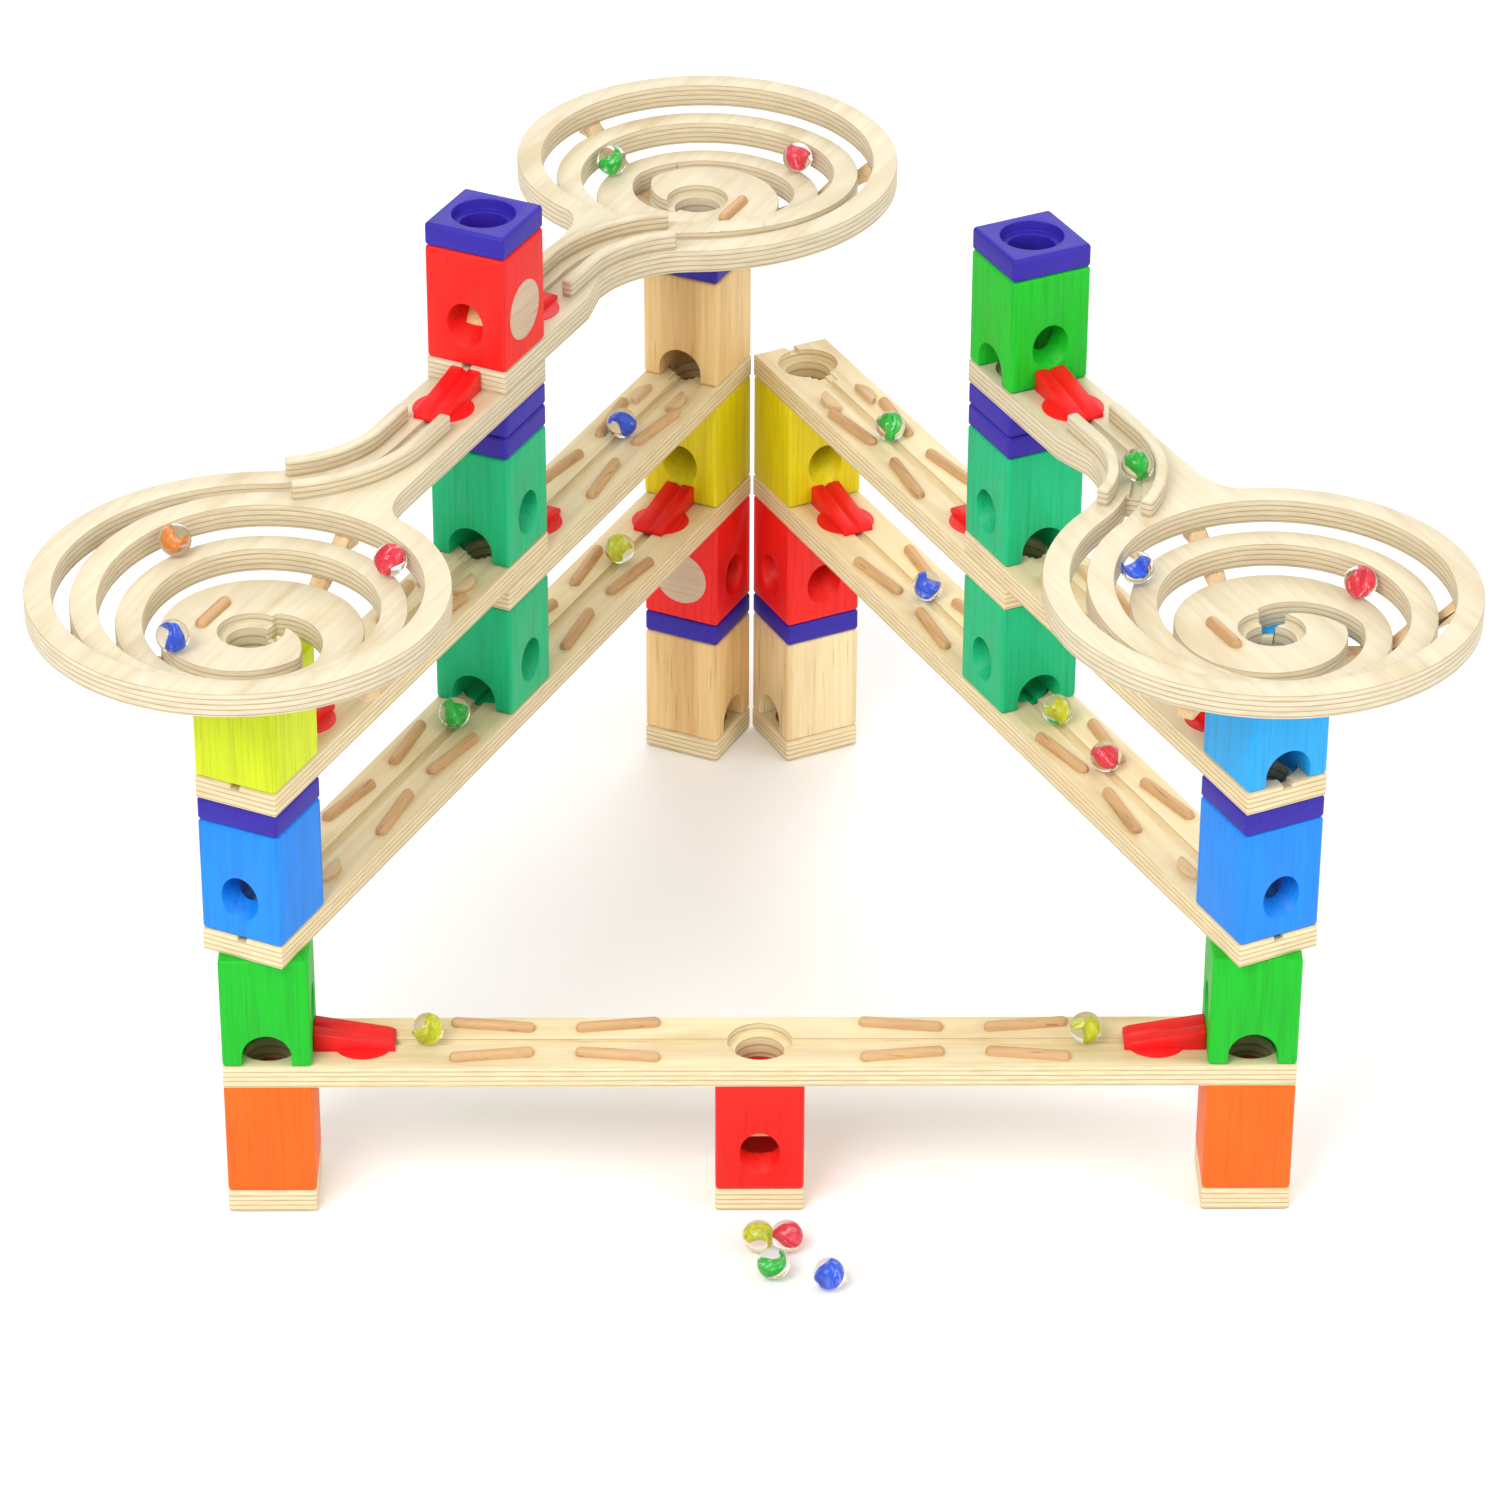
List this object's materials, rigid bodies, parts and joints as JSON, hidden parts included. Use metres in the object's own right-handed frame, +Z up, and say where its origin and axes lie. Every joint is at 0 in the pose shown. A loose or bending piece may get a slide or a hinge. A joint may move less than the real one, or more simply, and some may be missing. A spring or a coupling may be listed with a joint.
{
  "type": "marble run",
  "caption": "Wooden marble run: coloured tower blocks carry grooved level rails and spiral tracks down which glass marbles roll and fall.",
  "frame": {"origin": "centre of the footprint, on the surface that the base plates stand on", "axes": "+X along the front rail, towards the right; +Y from the front rail to the back towers; +Z up"},
  "size_m": [0.6884, 0.6394, 0.434],
  "materials": {
    "birch_plywood": "sanded natural wood",
    "blue_wood": "stained wood, satin",
    "purple_wood": "stained wood, satin",
    "teal_wood": "stained wood, satin",
    "natural_maple": "sanded natural wood",
    "yellow_wood": "stained wood, satin",
    "glass_orange": "clear glass with a coloured swirl",
    "glass_red": "clear glass with a coloured swirl",
    "red_wood": "stained wood, satin",
    "glass_green": "clear glass with a coloured swirl",
    "glass_blue": "clear glass with a coloured swirl",
    "light_blue_wood": "stained wood, satin",
    "green_wood": "stained wood, satin",
    "orange_wood": "stained wood, satin",
    "glass_yellow": "clear glass with a coloured swirl"
  },
  "bodies": {
    "towers_and_tracks": {"left_low_rail": "birch_plywood", "left_front_blue_block": "blue_wood", "left_front_plate": "purple_wood", "left_upper_rail": "birch_plywood", "left_middle_lower_teal_block": "teal_wood", "left_middle_rail": "birch_plywood", "left_middle_upper_teal_block": "teal_wood", "left_middle_plate_pair": "purple_wood", "left_back_base_plate": "birch_plywood", "left_back_maple_block": "natural_maple", "left_back_low_plate": "purple_wood", "left_back_yellow_block": "yellow_wood", "left_front_yellow_block": "yellow_wood", "left_spiral": "birch_plywood", "left_middle_top_switch_block": "red_wood", "left_middle_cap_plate": "purple_wood", "left_back_switch_block": "red_wood", "left_back_upper_maple_block": "natural_maple", "left_back_plate_pair": "purple_wood", "back_spiral": "birch_plywood", "right_low_rail": "birch_plywood", "right_front_blue_block": "blue_wood", "right_front_plate": "purple_wood", "right_upper_rail": "birch_plywood", "right_middle_lower_teal_block": "teal_wood", "right_middle_rail": "birch_plywood", "right_middle_upper_teal_block": "teal_wood", "right_middle_plate_pair": "purple_wood", "right_back_base_plate": "birch_plywood", "right_back_maple_block": "natural_maple", "right_back_low_plate": "purple_wood", "right_back_yellow_block": "yellow_wood", "right_front_light_blue_block": "light_blue_wood", "right_spiral": "birch_plywood", "right_middle_top_green_block": "green_wood", "right_middle_cap_plate": "purple_wood", "right_back_red_block": "red_wood", "front_left_base_plate": "birch_plywood", "front_centre_base_plate": "birch_plywood", "front_right_base_plate": "birch_plywood", "front_left_orange_block": "orange_wood", "front_right_orange_block": "orange_wood", "front_centre_switch_block": "red_wood", "front_rail": "birch_plywood", "front_left_green_block": "green_wood", "front_right_green_block": "green_wood"},
    "left_spiral_orange_marble": {"left_spiral_orange_marble": "glass_orange"},
    "left_spiral_red_marble": {"left_spiral_red_marble": "glass_red"},
    "right_spiral_blue_marble": {"right_spiral_blue_marble": "glass_blue"},
    "right_spiral_red_marble": {"right_spiral_red_marble": "glass_red"},
    "back_spiral_green_marble": {"back_spiral_green_marble": "glass_green"},
    "back_spiral_red_marble": {"back_spiral_red_marble": "glass_red"},
    "front_rail_yellow_marble": {"front_rail_yellow_marble": "glass_yellow"},
    "left_low_rail_green_marble": {"left_low_rail_green_marble": "glass_green"},
    "right_low_rail_red_marble": {"right_low_rail_red_marble": "glass_red"},
    "left_middle_rail_blue_marble": {"left_middle_rail_blue_marble": "glass_blue"},
    "right_middle_rail_green_marble": {"right_middle_rail_green_marble": "glass_green"},
    "front_centre_rocker": {"front_centre_rocker": "natural_maple"},
    "left_back_rocker": {"left_back_rocker": "natural_maple"},
    "left_middle_top_rocker": {"left_middle_top_rocker": "natural_maple"}
  },
  "joints": [
    {"name": "left_spiral_orange_marble_circle", "type": "hinge", "parent": "towers_and_tracks", "child": "left_spiral_orange_marble", "pos_m": [-0.23509, -0.21382, 0.33554], "axis": [-0.0045, -0.1162, 0.9932], "range_deg": [-15, 15]},
    {"name": "left_spiral_red_marble_circle", "type": "hinge", "parent": "towers_and_tracks", "child": "left_spiral_red_marble", "pos_m": [-0.23641, -0.21927, 0.3431], "axis": [0, 0, 1], "range_deg": [-30, 30]},
    {"name": "right_spiral_blue_marble_circle", "type": "hinge", "parent": "towers_and_tracks", "child": "right_spiral_blue_marble", "pos_m": [0.24629, -0.2125, 0.33447], "axis": [0.1038, -0.0773, 0.9916], "range_deg": [-15, 15]},
    {"name": "right_spiral_red_marble_circle", "type": "hinge", "parent": "towers_and_tracks", "child": "right_spiral_red_marble", "pos_m": [0.24807, -0.21896, 0.3307], "axis": [0, 0, 1], "range_deg": [-30, 30]},
    {"name": "back_spiral_green_marble_circle", "type": "hinge", "parent": "towers_and_tracks", "child": "back_spiral_green_marble", "pos_m": [-0.02418, 0.22165, 0.3431], "axis": [0, 0, 1], "range_deg": [-30, 30]},
    {"name": "back_spiral_red_marble_circle", "type": "hinge", "parent": "towers_and_tracks", "child": "back_spiral_red_marble", "pos_m": [-0.0241, 0.21634, 0.35035], "axis": [0.0398, 0.1147, 0.9926], "range_deg": [-15, 15]},
    {"name": "front_rail_yellow_marble_roll", "type": "slide", "parent": "towers_and_tracks", "child": "front_rail_yellow_marble", "axis": [1, 0, 0], "range_m": [-0.007, 0.135]},
    {"name": "left_low_rail_green_marble_roll", "type": "slide", "parent": "towers_and_tracks", "child": "left_low_rail_green_marble", "axis": [0.4384, 0.8988, 0], "range_m": [-0.135, 0.012]},
    {"name": "right_low_rail_red_marble_roll", "type": "slide", "parent": "towers_and_tracks", "child": "right_low_rail_red_marble", "axis": [-0.4384, 0.8988, 0], "range_m": [-0.085, 0.06]},
    {"name": "left_middle_rail_blue_marble_roll", "type": "slide", "parent": "towers_and_tracks", "child": "left_middle_rail_blue_marble", "axis": [0.4384, 0.8988, 0], "range_m": [-0.078, 0.06]},
    {"name": "right_middle_rail_green_marble_roll", "type": "slide", "parent": "towers_and_tracks", "child": "right_middle_rail_green_marble", "axis": [-0.4384, 0.8988, 0], "range_m": [-0.074, 0.064]},
    {"name": "front_centre_rocker_pivot", "type": "hinge", "parent": "towers_and_tracks", "child": "front_centre_rocker", "pos_m": [0.00403, -0.2163, 0.0384], "axis": [1, 0, 0], "range_deg": [0, 48]},
    {"name": "left_back_rocker_pivot", "type": "hinge", "parent": "towers_and_tracks", "child": "left_back_rocker", "pos_m": [-0.0258, 0.21872, 0.1128], "axis": [0.4384, 0.8988, 0], "range_deg": [0, 48]},
    {"name": "left_middle_top_rocker_pivot", "type": "hinge", "parent": "towers_and_tracks", "child": "left_middle_top_rocker", "pos_m": [-0.13189, 0.00121, 0.3856], "axis": [-0.8988, 0.4384, 0], "range_deg": [0, 48]}
  ]
}
